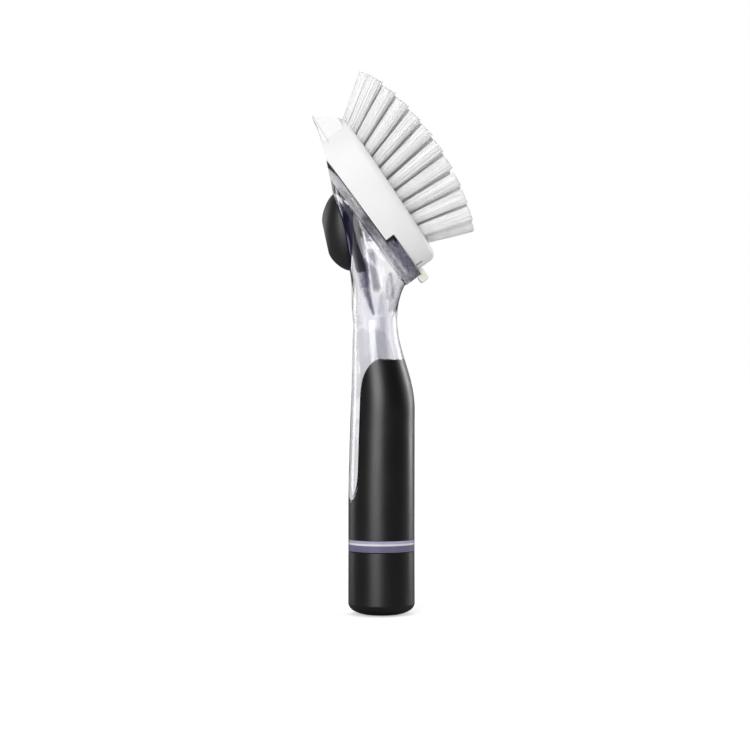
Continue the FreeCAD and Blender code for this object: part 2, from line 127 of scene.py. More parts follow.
def mixNode(tree, factor, first, second, blend="MIX"):
    # colour mix of sockets or plain colours
    node = addNode(tree, "ShaderNodeMix", data_type="RGBA", blend_type=blend)
    for place, value in (("Factor", factor), (6, first), (7, second)):
        socket = node.inputs[place]
        if isinstance(value, bpy.types.NodeSocket):
            tree.links.new(value, socket)
        else:
            socket.default_value = value
    return node.outputs[2]


def headPlaceGroup():
    # where a point lies in the slanted head: millimetres along from the nose and out from the plate line
    group = bpy.data.node_groups.new("headPlace", "ShaderNodeTree")
    addSocket(group, "Along", "OUTPUT", "NodeSocketFloat")
    addSocket(group, "Out", "OUTPUT", "NodeSocketFloat")
    end = addNode(group, "NodeGroupOutput")
    coords = addNode(group, "ShaderNodeTexCoord")
    turn, nose = headTurn(), np.array(headAxes["nose"])
    for socket, axis in (("Along", turn[:, 0]), ("Out", turn[:, 2])):
        dot = addNode(group, "ShaderNodeVectorMath", operation="DOT_PRODUCT")
        group.links.new(coords.outputs["Object"], dot.inputs[0])
        dot.inputs[1].default_value = axis / mm
        value = mathNode(group, "SUBTRACT", dot.outputs["Value"], float(axis @ nose))
        group.links.new(value, end.inputs[socket])
    return group


headPlace = headPlaceGroup()


def mouldedSurfaceGroup():
    # fine moulding grain and broad unevenness: two noises, put out as shade, roughness and height
    group = bpy.data.node_groups.new("mouldedSurface", "ShaderNodeTree")
    addSocket(group, "Grain Scale", "INPUT", "NodeSocketFloat", 900.0)
    addSocket(group, "Cloud Scale", "INPUT", "NodeSocketFloat", 60.0)
    addSocket(group, "Cloud Low", "INPUT", "NodeSocketFloat", 0.3)
    addSocket(group, "Cloud High", "INPUT", "NodeSocketFloat", 0.7)
    addSocket(group, "Dark", "INPUT", "NodeSocketColor", (0.02, 0.02, 0.02, 1.0))
    addSocket(group, "Light", "INPUT", "NodeSocketColor", (0.03, 0.03, 0.03, 1.0))
    addSocket(group, "Smooth", "INPUT", "NodeSocketFloat", 0.4)
    addSocket(group, "Rough", "INPUT", "NodeSocketFloat", 0.5)
    addSocket(group, "Color", "OUTPUT", "NodeSocketColor")
    addSocket(group, "Roughness", "OUTPUT", "NodeSocketFloat")
    addSocket(group, "Height", "OUTPUT", "NodeSocketFloat")
    start = addNode(group, "NodeGroupInput")
    end = addNode(group, "NodeGroupOutput")
    coords = addNode(group, "ShaderNodeTexCoord")
    grain = addNode(group, "ShaderNodeTexNoise", Detail=3.0)
    cloud = addNode(group, "ShaderNodeTexNoise", Detail=4.0)
    share = addNode(group, "ShaderNodeMapRange")
    tint = addNode(group, "ShaderNodeMix", data_type="RGBA")
    rough = addNode(group, "ShaderNodeMapRange")
    join = group.links.new
    for noise, scale in ((grain, "Grain Scale"), (cloud, "Cloud Scale")):
        join(coords.outputs["Object"], noise.inputs["Vector"])
        join(start.outputs[scale], noise.inputs["Scale"])
    join(cloud.outputs["Fac"], share.inputs["Value"])
    join(start.outputs["Cloud Low"], share.inputs["From Min"])
    join(start.outputs["Cloud High"], share.inputs["From Max"])
    join(share.outputs["Result"], tint.inputs["Factor"])
    join(start.outputs["Dark"], tint.inputs[6])
    join(start.outputs["Light"], tint.inputs[7])
    join(share.outputs["Result"], rough.inputs["Value"])
    join(start.outputs["Smooth"], rough.inputs["To Min"])
    join(start.outputs["Rough"], rough.inputs["To Max"])
    join(tint.outputs[2], end.inputs["Color"])
    join(rough.outputs["Result"], end.inputs["Roughness"])
    join(grain.outputs["Fac"], end.inputs["Height"])
    return group


mouldedSurface = mouldedSurfaceGroup()
moulding = {"bump": 0.1, "depth": 0.05}


def mouldedMaterial(name, look):
    # plastic, rubber or metal with the moulded grain on colour, roughness and bump
    material = bpy.data.materials.new(name)
    material.use_nodes = True
    tree = material.node_tree
    shader = tree.nodes["Principled BSDF"]
    for key, value in look.get("shader", {}).items():
        shader.inputs[key].default_value = value
    skin = addNode(tree, "ShaderNodeGroup", node_tree=mouldedSurface)
    for key, value in look["skin"].items():
        skin.inputs[key].default_value = value
    bump = addNode(tree, "ShaderNodeBump", Strength=look.get("bump", moulding["bump"]),
                   Distance=moulding["depth"] * mm)
    tree.links.new(skin.outputs["Color"], shader.inputs["Base Color"])
    tree.links.new(skin.outputs["Roughness"], shader.inputs["Roughness"])
    tree.links.new(skin.outputs["Height"], bump.inputs["Height"])
    tree.links.new(bump.outputs["Normal"], shader.inputs["Normal"])
    return material


def skinOf(tree):
    # the moulded surface is the first group that a material holds
    return next(node for node in tree.nodes if node.type == "GROUP")


def setBaseColour(tree, colour):
    # the given colour in place of the plain moulded one
    tree.links.new(colour, tree.nodes["Principled BSDF"].inputs["Base Color"])


def grey(value, blue=0.0):
    # neutral colour with an optional blue cast
    return (value, value, value + blue, 1.0)


looks = {
    "black_cap": {"skin": {"Dark": grey(0.002), "Light": grey(0.0035, 0.0003), "Smooth": 0.32, "Rough": 0.38},
                  "shader": {"Specular IOR Level": 0.85}},
    "black_grip": {"skin": {"Dark": grey(0.002), "Light": grey(0.0035, 0.0003), "Smooth": 0.33, "Rough": 0.4},
                   "shader": {"Specular IOR Level": 0.85}},
    "black_button": {"skin": {"Dark": grey(0.003), "Light": grey(0.005, 0.0003),
                              "Smooth": 0.45, "Rough": 0.53}, "shader": {"Specular IOR Level": 1.0}},
    "dark_plastic": {"skin": {"Dark": (0.003, 0.002, 0.028, 1.0), "Light": (0.008, 0.006, 0.055, 1.0),
                              "Smooth": 0.4, "Rough": 0.5}, "shader": {"Specular IOR Level": 0.2}},
    "grey_seal": {"skin": {"Dark": grey(0.3), "Light": grey(0.38), "Smooth": 0.5, "Rough": 0.65}},
    "spring_steel": {"skin": {"Dark": grey(0.5), "Light": grey(0.66), "Smooth": 0.22, "Rough": 0.36},
                     "shader": {"Metallic": 1.0}},
    "anchor_wire": {"skin": {"Dark": grey(0.5), "Light": grey(0.66), "Smooth": 0.25, "Rough": 0.4},
                    "shader": {"Metallic": 1.0}},
    "white_plastic": {"skin": {"Dark": grey(0.8), "Light": grey(0.83), "Smooth": 0.36, "Rough": 0.46}},
    "pale_inner": {"skin": {"Dark": grey(0.6, 0.06), "Light": grey(0.7, 0.06), "Smooth": 0.4, "Rough": 0.5}},
    "ivory_plastic": {"skin": {"Dark": (0.76, 0.74, 0.68, 1.0), "Light": (0.82, 0.8, 0.74, 1.0),
                               "Smooth": 0.36, "Rough": 0.46}},
}
materials = {name: mouldedMaterial(name, look) for name, look in looks.items()}
print("moulded materials", len(materials))


def placeInMillimetres(tree):
    # object coordinates split into millimetres
    parts = addNode(tree, "ShaderNodeSeparateXYZ")
    tree.links.new(addNode(tree, "ShaderNodeTexCoord").outputs["Object"], parts.inputs[0])
    return [mathNode(tree, "DIVIDE", parts.outputs[axis], mm) for axis in ("X", "Y", "Z")]


def stretchedNoise(tree, place, stretch, scale, low, high):
    # noise drawn out along the axes with a small stretch factor, put out as a 0 to 1 share
    joined = addNode(tree, "ShaderNodeCombineXYZ")
    for slot, value, factor in zip(joined.inputs, place, stretch):
        tree.links.new(mathNode(tree, "MULTIPLY", value, factor), slot)
    noise = addNode(tree, "ShaderNodeTexNoise", Scale=scale, Detail=3.0)
    tree.links.new(joined.outputs[0], noise.inputs["Vector"])
    return rampNode(tree, noise.outputs["Fac"], low, high)


# painted shade marks on the block: the crease under the scraper and the slot above the tab
blockMarks = {
    "creaseShade": (0.62, 0.62, 0.63, 1.0), "creaseFrom": (-18.0, 6.5), "creaseTo": (-4.5, 5.3),
    "creaseHalf": 0.22, "creaseEase": (1.6, 0.5), "creaseFade": 2.0,
    "slot": (0.3, 0.3, 0.31, 1.0), "slotAlong": (58.6, 59.3), "slotOut": (4.6, 8.0),
    "slotEase": 0.15, "slotFoot": 0.2, "slotHead": 0.8,
}


def blockMaterial():
    # satin white; painted shade along the fine crease under the scraper and in the slot above the tab
    look = blockMarks
    material = mouldedMaterial("white_block", looks["white_plastic"])
    tree = material.node_tree
    skin = skinOf(tree)
    place = addNode(tree, "ShaderNodeGroup", node_tree=headPlace)
    along, out = place.outputs["Along"], place.outputs["Out"]
    (s0, h0), (s1, h1) = look["creaseFrom"], look["creaseTo"]
    slope = (h1 - h0) / (s1 - s0)
    line = mathNode(tree, "MULTIPLY_ADD", along, slope, h0 - slope * s0)
    off = mathNode(tree, "ABSOLUTE", mathNode(tree, "SUBTRACT", out, line))
    outer, inner = (look["creaseHalf"] * ease for ease in look["creaseEase"])
    # painted shade along the crease under the scraper
    creaseShade = mathNode(tree, "MULTIPLY", rampNode(tree, off, outer, inner),
                      rampNode(tree, along, s1, s1 - look["creaseFade"]))
    # painted shade in the slot above the tab
    (low, high), (bottom, top), ease = look["slotAlong"], look["slotOut"], look["slotEase"]
    slot = mathNode(tree, "MULTIPLY", rampNode(tree, along, low - ease, low),
                    rampNode(tree, along, high, high - ease))
    slot = mathNode(tree, "MULTIPLY", slot, rampNode(tree, out, bottom - look["slotFoot"], bottom))
    slot = mathNode(tree, "MULTIPLY", slot, rampNode(tree, out, top, top - look["slotHead"]))
    colour = mixNode(tree, creaseShade, skin.outputs["Color"], look["creaseShade"])
    colour = mixNode(tree, slot, colour, look["slot"])
    setBaseColour(tree, colour)
    return material


materials["white_block"] = blockMaterial()

clearPlastic = {
    "dark": (0.89, 0.89, 0.94, 1.0), "light": (0.965, 0.965, 0.985, 1.0),
    "smooth": 0.02, "rough": 0.05, "ior": 1.49, "gloss": 0.3, "cloud": 90.0, "grain": 220.0, "bump": 0.04,
    "clear": (0.995, 0.995, 1.0, 1.0), "clearFrom": (132.0, 144.0), "clearShare": 0.8,
    # painted shade colour of the streaks and the softness of their edges
    "streak": (0.14, 0.128, 0.21, 1.0), "soft": 0.8, "endSoft": 0.6,
    "breakStretch": (1.0, 1.0, 0.12), "breakScale": 1.1, "breakFrom": (0.25, 0.6), "breakShare": (0.55, 0.45),
    # painted shade: darker streaks in the wall of scoop and neck where dark parts show through it; upper and
    # lower (x, z, half width), strength
    "streaks": (((-12.1, 174.0, 0.8), (-8.9, 153.5, 1.4), 0.9),
                ((-8.5, 153.5, 1.9), (-6.9, 140.5, 1.5), 0.95), ((-6.9, 140.5, 1.5), (-3.4, 129.5, 0.4), 0.8),
                ((-4.9, 157.0, 1.5), (-1.9, 140.2, 1.7), 0.5), ((3.6, 147.0, 0.2), (5.0, 136.3, 0.6), 0.75),
                ((9.8, 143.5, 0.7), (6.2, 130.8, 1.0), 0.85), ((0.6, 139.0, 0.8), (0.4, 129.0, 2.4), 0.22),
                ((0.4, 129.0, 2.4), (0.0, 104.0, 3.2), 0.27)),
}


def streakMask(tree, x, z, streak):
    # band along a slanted line: one within its half width, soft beside it and past its ends
    (x0, z0, half0), (x1, z1, half1), strength = streak
    soft, end = clearPlastic["soft"], clearPlastic["endSoft"]
    share = mathNode(tree, "DIVIDE", mathNode(tree, "SUBTRACT", z, z0), z1 - z0)
    middle = mathNode(tree, "MULTIPLY_ADD", share, x1 - x0, x0)
    half = mathNode(tree, "MULTIPLY_ADD", share, half1 - half0, half0)
    off = mathNode(tree, "SUBTRACT", mathNode(tree, "ABSOLUTE", mathNode(tree, "SUBTRACT", x, middle)), half)
    mask = mathNode(tree, "MULTIPLY", rampNode(tree, off, soft, -soft), strength)
    mask = mathNode(tree, "MULTIPLY", mask, rampNode(tree, z, z0 + end, z0 - end))
    return mathNode(tree, "MULTIPLY", mask, rampNode(tree, z, z1 - end, z1 + end))


def clearMaterial():
    # clear moulded plastic, clearer up the scoop; slanted streaks of painted lavender shade, broken up by a
    # noise
    look = clearPlastic
    material = mouldedMaterial("clear_plastic", {
        "skin": {"Dark": look["dark"], "Light": look["light"], "Smooth": look["smooth"],
                 "Rough": look["rough"], "Cloud Scale": look["cloud"], "Grain Scale": look["grain"]},
        "shader": {"Transmission Weight": 1.0, "IOR": look["ior"], "Specular IOR Level": look["gloss"]},
        "bump": look["bump"],
    })
    tree = material.node_tree
    skin = skinOf(tree)
    x, y, z = placeInMillimetres(tree)
    clearer = mathNode(tree, "MULTIPLY", rampNode(tree, z, *look["clearFrom"]), look["clearShare"])
    wall = mixNode(tree, clearer, skin.outputs["Color"], look["clear"])
    # painted shade: the darkest of all the streaks at each point
    streakShade = streakMask(tree, x, z, look["streaks"][0])
    for streak in look["streaks"][1:]:
        streakShade = mathNode(tree, "MAXIMUM", streakShade, streakMask(tree, x, z, streak))
    broken = stretchedNoise(tree, (x, y, z), look["breakStretch"], look["breakScale"], *look["breakFrom"])
    least, more = look["breakShare"]
    streakShade = mathNode(tree, "MULTIPLY", streakShade, mathNode(tree, "MULTIPLY_ADD", broken, more, least))
    colour = mixNode(tree, streakShade, wall, look["streak"])
    setBaseColour(tree, colour)
    return material


materials["clear_plastic"] = clearMaterial()

clearPlate = {
    "dark": (0.45, 0.44, 0.52, 1.0), "light": (0.98, 0.97, 1.0, 1.0), "rimShade": (0.01, 0.01, 0.014, 1.0),
    "seam": (0.97, 0.97, 0.99, 1.0), "smooth": 0.22, "rough": 0.4, "ior": 1.49, "bump": 0.12,
    "cloud": 300.0, "grain": 300.0, "cloudStretch": (0.35, 1.0, 0.6), "cloudScale": 1.5,
    "cloudFrom": (0.36, 0.62),
    # where the painted shade lies on the rim: wedge at the nose, upper edge, heel corner, heel wall
    "wedgeSlope": -0.15, "wedgeRise": 1.9, "wedgeSoft": 0.3, "wedgeEnd": (13.0, 11.0),
    "edgeOut": (-0.5, -0.2), "edgeEnd": (45.0, 43.5), "edgeAcross": (6.0, 8.0),
    "cornerOut": (2.2, 3.4), "cornerEnd": (47.5, 44.5), "seamOut": (-3.0, -3.3),
    "heelFrom": (42.0, 44.0), "heelOut": (-1.2, 0.4), "heelShade": (0.7, 0.685, 0.75, 1.0),
    "noseEnd": (17.0, 9.0), "noseShare": 0.6, "flat": (0.9, 0.895, 0.93, 1.0), "flatTurn": (0.6, 0.9),
}


def plateMaterial():
    # clear plate, its rim clouded along its length: pale seam below; painted shade along the upper edge, at
    # the heel corner, over the heel wall and in a dark wedge at the nose
    look = clearPlate
    material = mouldedMaterial("clear_plate", {
        "skin": {"Dark": grey(0.9), "Light": grey(1.0), "Smooth": look["smooth"], "Rough": look["rough"],
                 "Cloud Scale": look["cloud"], "Grain Scale": look["grain"]},
        "shader": {"Transmission Weight": 1.0, "IOR": look["ior"]}, "bump": look["bump"],
    })
    tree = material.node_tree
    skin = skinOf(tree)
    place = addNode(tree, "ShaderNodeGroup", node_tree=headPlace)
    along, out = place.outputs["Along"], place.outputs["Out"]
    across = placeInMillimetres(tree)[1]
    side = mathNode(tree, "ABSOLUTE", across)

    def both(first, second):
        # where two masks meet
        return mathNode(tree, "MULTIPLY", first, second)

    cloud = stretchedNoise(tree, (along, out, across), look["cloudStretch"], look["cloudScale"],
                           *look["cloudFrom"])
    # painted shade: a dark wedge at the nose, a dark upper edge and a dark heel corner
    risen = mathNode(tree, "ADD", out, look["wedgeRise"])
    wedge = mathNode(tree, "MULTIPLY_ADD", along, look["wedgeSlope"], risen)
    wedge = both(rampNode(tree, wedge, 0.0, look["wedgeSoft"]), rampNode(tree, along, *look["wedgeEnd"]))
    edge = both(rampNode(tree, out, *look["edgeOut"]), rampNode(tree, along, *look["edgeEnd"]))
    edge = both(edge, rampNode(tree, side, *look["edgeAcross"]))
    corner = both(rampNode(tree, out, *look["cornerOut"]), rampNode(tree, along, *look["cornerEnd"]))
    rimShade = mathNode(tree, "MAXIMUM", mathNode(tree, "MAXIMUM", wedge, edge), corner)
    # painted shade: darker over the heel wall
    heel = both(rampNode(tree, along, *look["heelFrom"]), rampNode(tree, out, *look["heelOut"]))
    nose = both(rampNode(tree, along, *look["noseEnd"]), look["noseShare"])
    colour = mixNode(tree, cloud, look["dark"], look["light"])
    colour = mixNode(tree, 1.0, colour, skin.outputs["Color"], "MULTIPLY")
    colour = mixNode(tree, heel, colour, look["heelShade"], "MULTIPLY")
    colour = mixNode(tree, nose, colour, look["seam"])
    colour = mixNode(tree, rampNode(tree, out, *look["seamOut"]), colour, look["seam"])
    colour = mixNode(tree, rimShade, colour, look["rimShade"])
    # the two flat faces are clear; the clouding and the painted shade lie on the rim
    facing = addNode(tree, "ShaderNodeVectorMath", operation="DOT_PRODUCT")
    tree.links.new(addNode(tree, "ShaderNodeTexCoord").outputs["Normal"], facing.inputs[0])
    facing.inputs[1].default_value = headTurn()[:, 2]
    flat = rampNode(tree, mathNode(tree, "ABSOLUTE", facing.outputs["Value"]), *look["flatTurn"])
    colour = mixNode(tree, flat, colour, look["flat"])
    setBaseColour(tree, colour)
    return material


materials["clear_plate"] = plateMaterial()

bristle = {
    "columns": 11, "first": -10.2, "pitch": 5.81, "nosePlace": -8.7, "rowPitch": 6.0,
    "rowSteps": (-1.5, -0.5, 0.5, 1.5), "splay": 5.0,
    "fanFirst": -4.4, "fanLast": 47.9, "firstTilt": 28.0, "lastTilt": -17.5,
    "firstLength": 24.0, "lastLength": 22.9, "crown": 3.8,
    "faceHeight": 16.7, "faceSlope": 2.4, "soapPlace": 33.67, "soapClear": 5.0,
    "rootRadius": 2.5, "tipRadius": 3.45, "sunk": 1.2,
    "filaments": 180, "thickness": 0.42, "sides": 5, "stations": 4, "seed": 11, "goldenTurn": 2.399963,
    "uneven": 0.05, "rimInside": 1.3, "longest": 0.995, "cutShare": 0.014, "bend": 0.14, "swirl": 0.25,
    # painted shade on the inner rows and towards the roots
    "coreBelow": 0.8, "coreInside": 0.45, "coreSides": 24, "coreTone": 0.95, "innerShade": 0.86,
    "tones": (0.9, 1.0), "rootTone": 0.84, "rootReach": 3.0, "sharp": 80.0,
}


def bristleMaterial():
    # nylon: white, each filament a little lighter or darker, with painted shade greyer towards its root and
    # on the inner rows
    material = mouldedMaterial("white_bristle", {
        "skin": {"Dark": grey(0.86), "Light": grey(0.9), "Smooth": 0.35, "Rough": 0.5, "Cloud Scale": 400.0},
        # a faint painted glow lightens the tufts
        "shader": {"Emission Color": grey(1.0), "Emission Strength": 0.03},
    })
    tree = material.node_tree
    shade = addNode(tree, "ShaderNodeAttribute", attribute_name="shade")
    colour = mixNode(tree, 1.0, skinOf(tree).outputs["Color"], shade.outputs["Color"], "MULTIPLY")
    setBaseColour(tree, colour)
    return material


materials["white_bristle"] = bristleMaterial()


def tuftTable():
    # one list per cross row of (place, across, lean, splay, length): length bulges by the crown at mid fan,
    # inner tufts stand half a pitch behind, the nose row has only those, and the soap outlet stays free
    rows = []
    for column in range(bristle["columns"]):
        row = []
        for step in bristle["rowSteps"]:
            outer = abs(step) > 1
            place = bristle["first"] + bristle["pitch"] * (column if outer else column + 0.5)
            place = bristle["nosePlace"] if column == 0 else place
            across = step * bristle["rowPitch"]
            onOutlet = math.hypot(place - bristle["soapPlace"], across) < bristle["soapClear"]
            if onOutlet or (outer and column == 0):
                continue
            share = (place - bristle["fanFirst"]) / (bristle["fanLast"] - bristle["fanFirst"])
            length = bristle["firstLength"] + (bristle["lastLength"] - bristle["firstLength"]) * share
            length += bristle["crown"] * 4.0 * share * (1.0 - share)
            lean = bristle["firstTilt"] + (bristle["lastTilt"] - bristle["firstTilt"]) * share
            row.append((place, across, lean, bristle["splay"] * step, length))
        rows.append(row)
    return rows


def prismFaces(prisms, stations, sides, start=0):
    # walls and ends of equal prisms whose points run prism by prism, station by station, side by side
    first = start + np.arange(prisms)[:, None, None] * stations * sides
    along = np.arange(stations - 1)[None, :, None] * sides
    side = np.arange(sides)[None, None, :]
    after = (side + 1) % sides
    walls = np.stack([first + along + side, first + along + after,
                      first + along + sides + after, first + along + sides + side], axis=-1).reshape(-1, 4)
    tips = first[:, 0, :] + (stations - 1) * sides + side[0]
    feet = first[:, 0, :] + side[0][:, ::-1]
    return walls.tolist() + tips.tolist() + feet.tolist()


def prismPoints(middles, thick, sides):
    # each point of a middle line grows a ring of the given radius
    turn = np.arange(sides) * 2.0 * np.pi / sides
    ring = np.stack([np.cos(turn), np.sin(turn), 0.0 * turn], axis=-1)
    return middles[..., None, :] + np.asarray(thick)[..., None, None] * ring


def standTufts(local, row):
    # splay about the along axis, lean about the across axis, then stand on the sloping face
    place, across, lean, splay = (np.array(column)[:, None, None, None] for column in list(zip(*row))[:4])
    a, b = np.radians(-splay), np.radians(-lean)
    x, y, z = local[..., 0], local[..., 1], local[..., 2]
    y, z = y * np.cos(a) - z * np.sin(a), y * np.sin(a) + z * np.cos(a)
    x, z = x * np.cos(b) + z * np.sin(b), z * np.cos(b) - x * np.sin(b)
    face = bristle["faceHeight"] - place * math.tan(math.radians(bristle["faceSlope"]))
    return headToWorld(np.stack([x + place, y + across, z + face], axis=-1))


def tuftRadius(reach):
    # widens evenly from the root to the tip
    return bristle["rootRadius"] + (bristle["tipRadius"] - bristle["rootRadius"]) * reach


def rootShade(reach):
    # painted shade: greyer at the root, full tone from a third of the length up
    return bristle["rootTone"] + (1.0 - bristle["rootTone"]) * np.clip(reach * bristle["rootReach"], 0.0, 1.0)


def tuftRow(number, row):
    # each tuft is a sunflower disc of slim bent prisms round a core, from its hole to a wider flat-cut tip
    rng = np.random.default_rng(bristle["seed"] + number)
    columns = list(zip(*row))
    place, across, length = (np.array(columns[at])[:, None] for at in (0, 1, 4))
    count, tufts, sunk = bristle["filaments"], len(row), bristle["sunk"]
    index = np.arange(count)[None, :]
    thick = bristle["thickness"] / 2.0
    uneven = 1.0 + bristle["uneven"] * rng.uniform(-1.0, 1.0, (tufts, count))
    spread = np.minimum(np.sqrt((index + 0.5) / count) * uneven, 1.0)[:, :, None]
    stations = np.linspace(0.0, 1.0, bristle["stations"])[None, None, :]
    cut = length * (bristle["longest"] - bristle["cutShare"] * rng.uniform(0.0, 1.0, (tufts, count)))
    rise = -sunk + (cut + sunk)[:, :, None] * stations
    reach = np.maximum(rise, 0.0) / length[:, :, None]
    radius = tuftRadius(reach) - bristle["rimInside"] * thick
    # a filament bows most at mid length and turns a little round the tuft
    bow = (4.0 * stations * (1.0 - stations))[..., None]
    bend = rng.normal(0.0, bristle["bend"], (tufts, count, 2))[:, :, None, :] * bow
    swirl = (index * bristle["goldenTurn"] + place)[:, :, None]
    swirl = swirl + rng.uniform(-bristle["swirl"], bristle["swirl"], (tufts, count))[:, :, None] * stations
    middles = np.stack([radius * spread * np.cos(swirl) + bend[..., 0],
                        radius * spread * np.sin(swirl) + bend[..., 1], rise], axis=-1)
    points = standTufts(prismPoints(middles, thick, bristle["sides"]), row)
    # the core fills the tuft just inside its outer filaments, a little below the cut
    coreRise = -sunk + (length - bristle["coreBelow"] + sunk)[:, :, None] * stations
    coreReach = np.maximum(coreRise, 0.0) / length[:, :, None]
    core = np.stack([0.0 * coreRise, 0.0 * coreRise, coreRise], axis=-1)
    coreRadius = tuftRadius(coreReach) - bristle["coreInside"]
    corePoints = standTufts(prismPoints(core, coreRadius, bristle["coreSides"]), row)
    # painted shade: inner tufts darker than the outer ones and greyer towards the root; each filament a
    # little different
    inner = (np.abs(across) < bristle["rowPitch"]) & (1 < number < bristle["columns"])
    rowShade = np.where(inner, bristle["innerShade"], 1.0)[:, :, None, None]
    ownTone = rng.uniform(*bristle["tones"], (tufts, count))[:, :, None, None]
    tone = rowShade * ownTone * rootShade(reach)[..., None]
    coreTone = rowShade * bristle["coreTone"] * rootShade(coreReach)[..., None]
    shades = [np.broadcast_to(value, made.shape[:-1]).reshape(-1)
              for value, made in ((tone, points), (coreTone, corePoints))]
    faces = prismFaces(tufts * count, bristle["stations"], bristle["sides"])
    faces += prismFaces(tufts, bristle["stations"], bristle["coreSides"], points.size // 3)
    made = np.concatenate([points.reshape(-1, 3), corePoints.reshape(-1, 3)])
    obj = meshPiece(f"bristles_{number:02d}", made, faces, "brush_head",
                    [f"tuft_row_{number:02d}"], materials["white_bristle"])
    tone = np.concatenate(shades)
    colours = np.stack([tone, tone, tone, np.ones_like(tone)], axis=-1).astype(np.float32)
    shade = obj.data.color_attributes.new("shade", "FLOAT_COLOR", "POINT")
    shade.data.foreach_set("color", colours.reshape(-1))
    # the flat cut keeps its own normal, so the walls stay round up to the tip
    obj.data.set_sharp_from_angle(angle=math.radians(bristle["sharp"]))
    return obj


rows = [tuftRow(number, row) for number, row in enumerate(tuftTable(), 1)]
print("bristle rows", len(rows), "triangles", sum(len(obj.data.polygons) for obj in rows) * 2)

turned = {"steps": 160, "weld": 1e-7, "flatten": 1e-8, "sharp": 40.0}


def turnedPiece(name, profile, body, nodes, material):
    # closed profile of (radius, height) in millimetres carried round the handle axis, seam and poles merged
    profile, steps = np.array(profile), turned["steps"]
    turn = np.linspace(0.0, 2.0 * np.pi, steps, endpoint=False)[:, None]
    radius, height = profile[:, 0], profile[:, 1]
    points = np.stack([radius * np.cos(turn), radius * np.sin(turn), height + 0.0 * turn], axis=-1)
    count = len(profile)
    step, place = np.arange(steps)[:, None], np.arange(count)[None, :]
    after, beyond = (step + 1) % steps, (place + 1) % count
    faces = np.stack([step * count + place, after * count + place,
                      after * count + beyond, step * count + beyond], axis=-1)
    obj = meshPiece(name, points * mm, faces.reshape(-1, 4).tolist(), body, nodes, material)
    shape = bmesh.new()
    shape.from_mesh(obj.data)
    bmesh.ops.remove_doubles(shape, verts=shape.verts, dist=turned["weld"])
    bmesh.ops.dissolve_degenerate(shape, edges=shape.edges, dist=turned["flatten"])
    bmesh.ops.recalc_face_normals(shape, faces=shape.faces)
    shape.to_mesh(obj.data)
    shape.free()
    obj.data.polygons.foreach_set("use_smooth", np.ones(len(obj.data.polygons), dtype=bool))
    obj.data.set_sharp_from_angle(angle=math.radians(turned["sharp"]))
    return obj


baseCap = {
    "radius": 14.4, "top": 27.6, "bore": 13.0, "floor": 2.4, "lip": 0.3, "lipRow": 0.7, "footRow": 0.4,
    "domePoints": 40,
    "foot": ((0.0, 0.0), (6.0, 0.0), (8.0, 0.2), (10.0, 0.72),
             (11.6, 1.38), (12.8, 2.1), (13.7, 2.95), (14.4, 4.4)),
}


def capProfile():
    # low dome up to the side, straight barrel, lip, then back down the bore
    foot = np.array(baseCap["foot"])
    fine = np.linspace(0.0, len(foot) - 1.0, baseCap["domePoints"])
    dome = np.stack([np.interp(fine, np.arange(len(foot)), foot[:, axis]) for axis in (0, 1)], axis=-1)
    radius, top, lip = baseCap["radius"], baseCap["top"], baseCap["lip"]
    bore, floor = baseCap["bore"], baseCap["floor"]
    rest = [(radius, foot[-1, 1] + baseCap["footRow"]), (radius, top - baseCap["lipRow"]),
            (radius, top - lip), (radius - lip, top), (bore, top), (bore, floor), (0.0, floor)]
    return np.concatenate([dome, rest])


turnedPiece("cap_skin", capProfile(), "base", ["cap_cover"], materials["black_cap"])

clearBand = {
    "bottom": 27.7, "top": 32.5, "radius": 14.43, "inner": 14.36,
    # painted shade below, a painted highlight line and paler lavender above
    "low": (0.15, 0.14, 0.235, 1.0), "line": (0.8, 0.79, 0.86, 1.0), "high": (0.42, 0.4, 0.56, 1.0),
    "lineFrom": (30.3, 30.7), "lineTo": (31.1, 31.5),
}


def bandMaterial():
    # opaque ring with the painted look of the clear ring over the neck: lavender shade below, a painted
    # highlight line, paler lavender above
    look = clearBand
    material = mouldedMaterial("clear_band", {
        "skin": {"Dark": grey(0.9), "Light": grey(1.0), "Smooth": 0.08, "Rough": 0.16, "Cloud Scale": 300.0,
                 "Grain Scale": 300.0},
        "shader": {"Coat Weight": 1.0, "Coat Roughness": 0.05}, "bump": 0.1,
    })
    tree = material.node_tree
    skin = skinOf(tree)
    z = placeInMillimetres(tree)[2]
    colour = mixNode(tree, rampNode(tree, z, *look["lineFrom"]), look["low"], look["line"])
    colour = mixNode(tree, rampNode(tree, z, *look["lineTo"]), colour, look["high"])
    colour = mixNode(tree, 1.0, skin.outputs["Color"], colour, "MULTIPLY")
    setBaseColour(tree, colour)
    return material


bandCorners = [(clearBand["inner"], clearBand["bottom"]), (clearBand["radius"], clearBand["bottom"]),
               (clearBand["radius"], clearBand["top"]), (clearBand["inner"], clearBand["top"])]
turnedPiece("clear_band", bandCorners, "handle", [], bandMaterial())
print("turned cap and band")

coil = {
    "centre": (-17.277, 0.0, 165.3), "lean": 12.0, "radius": 3.6, "wire": 0.7, "turns": 4,
    "ends": (-1.05, 5.05), "seat": 5.5, "keep": 0.7, "stations": 145, "sides": 10, "sharp": 80.0,
}


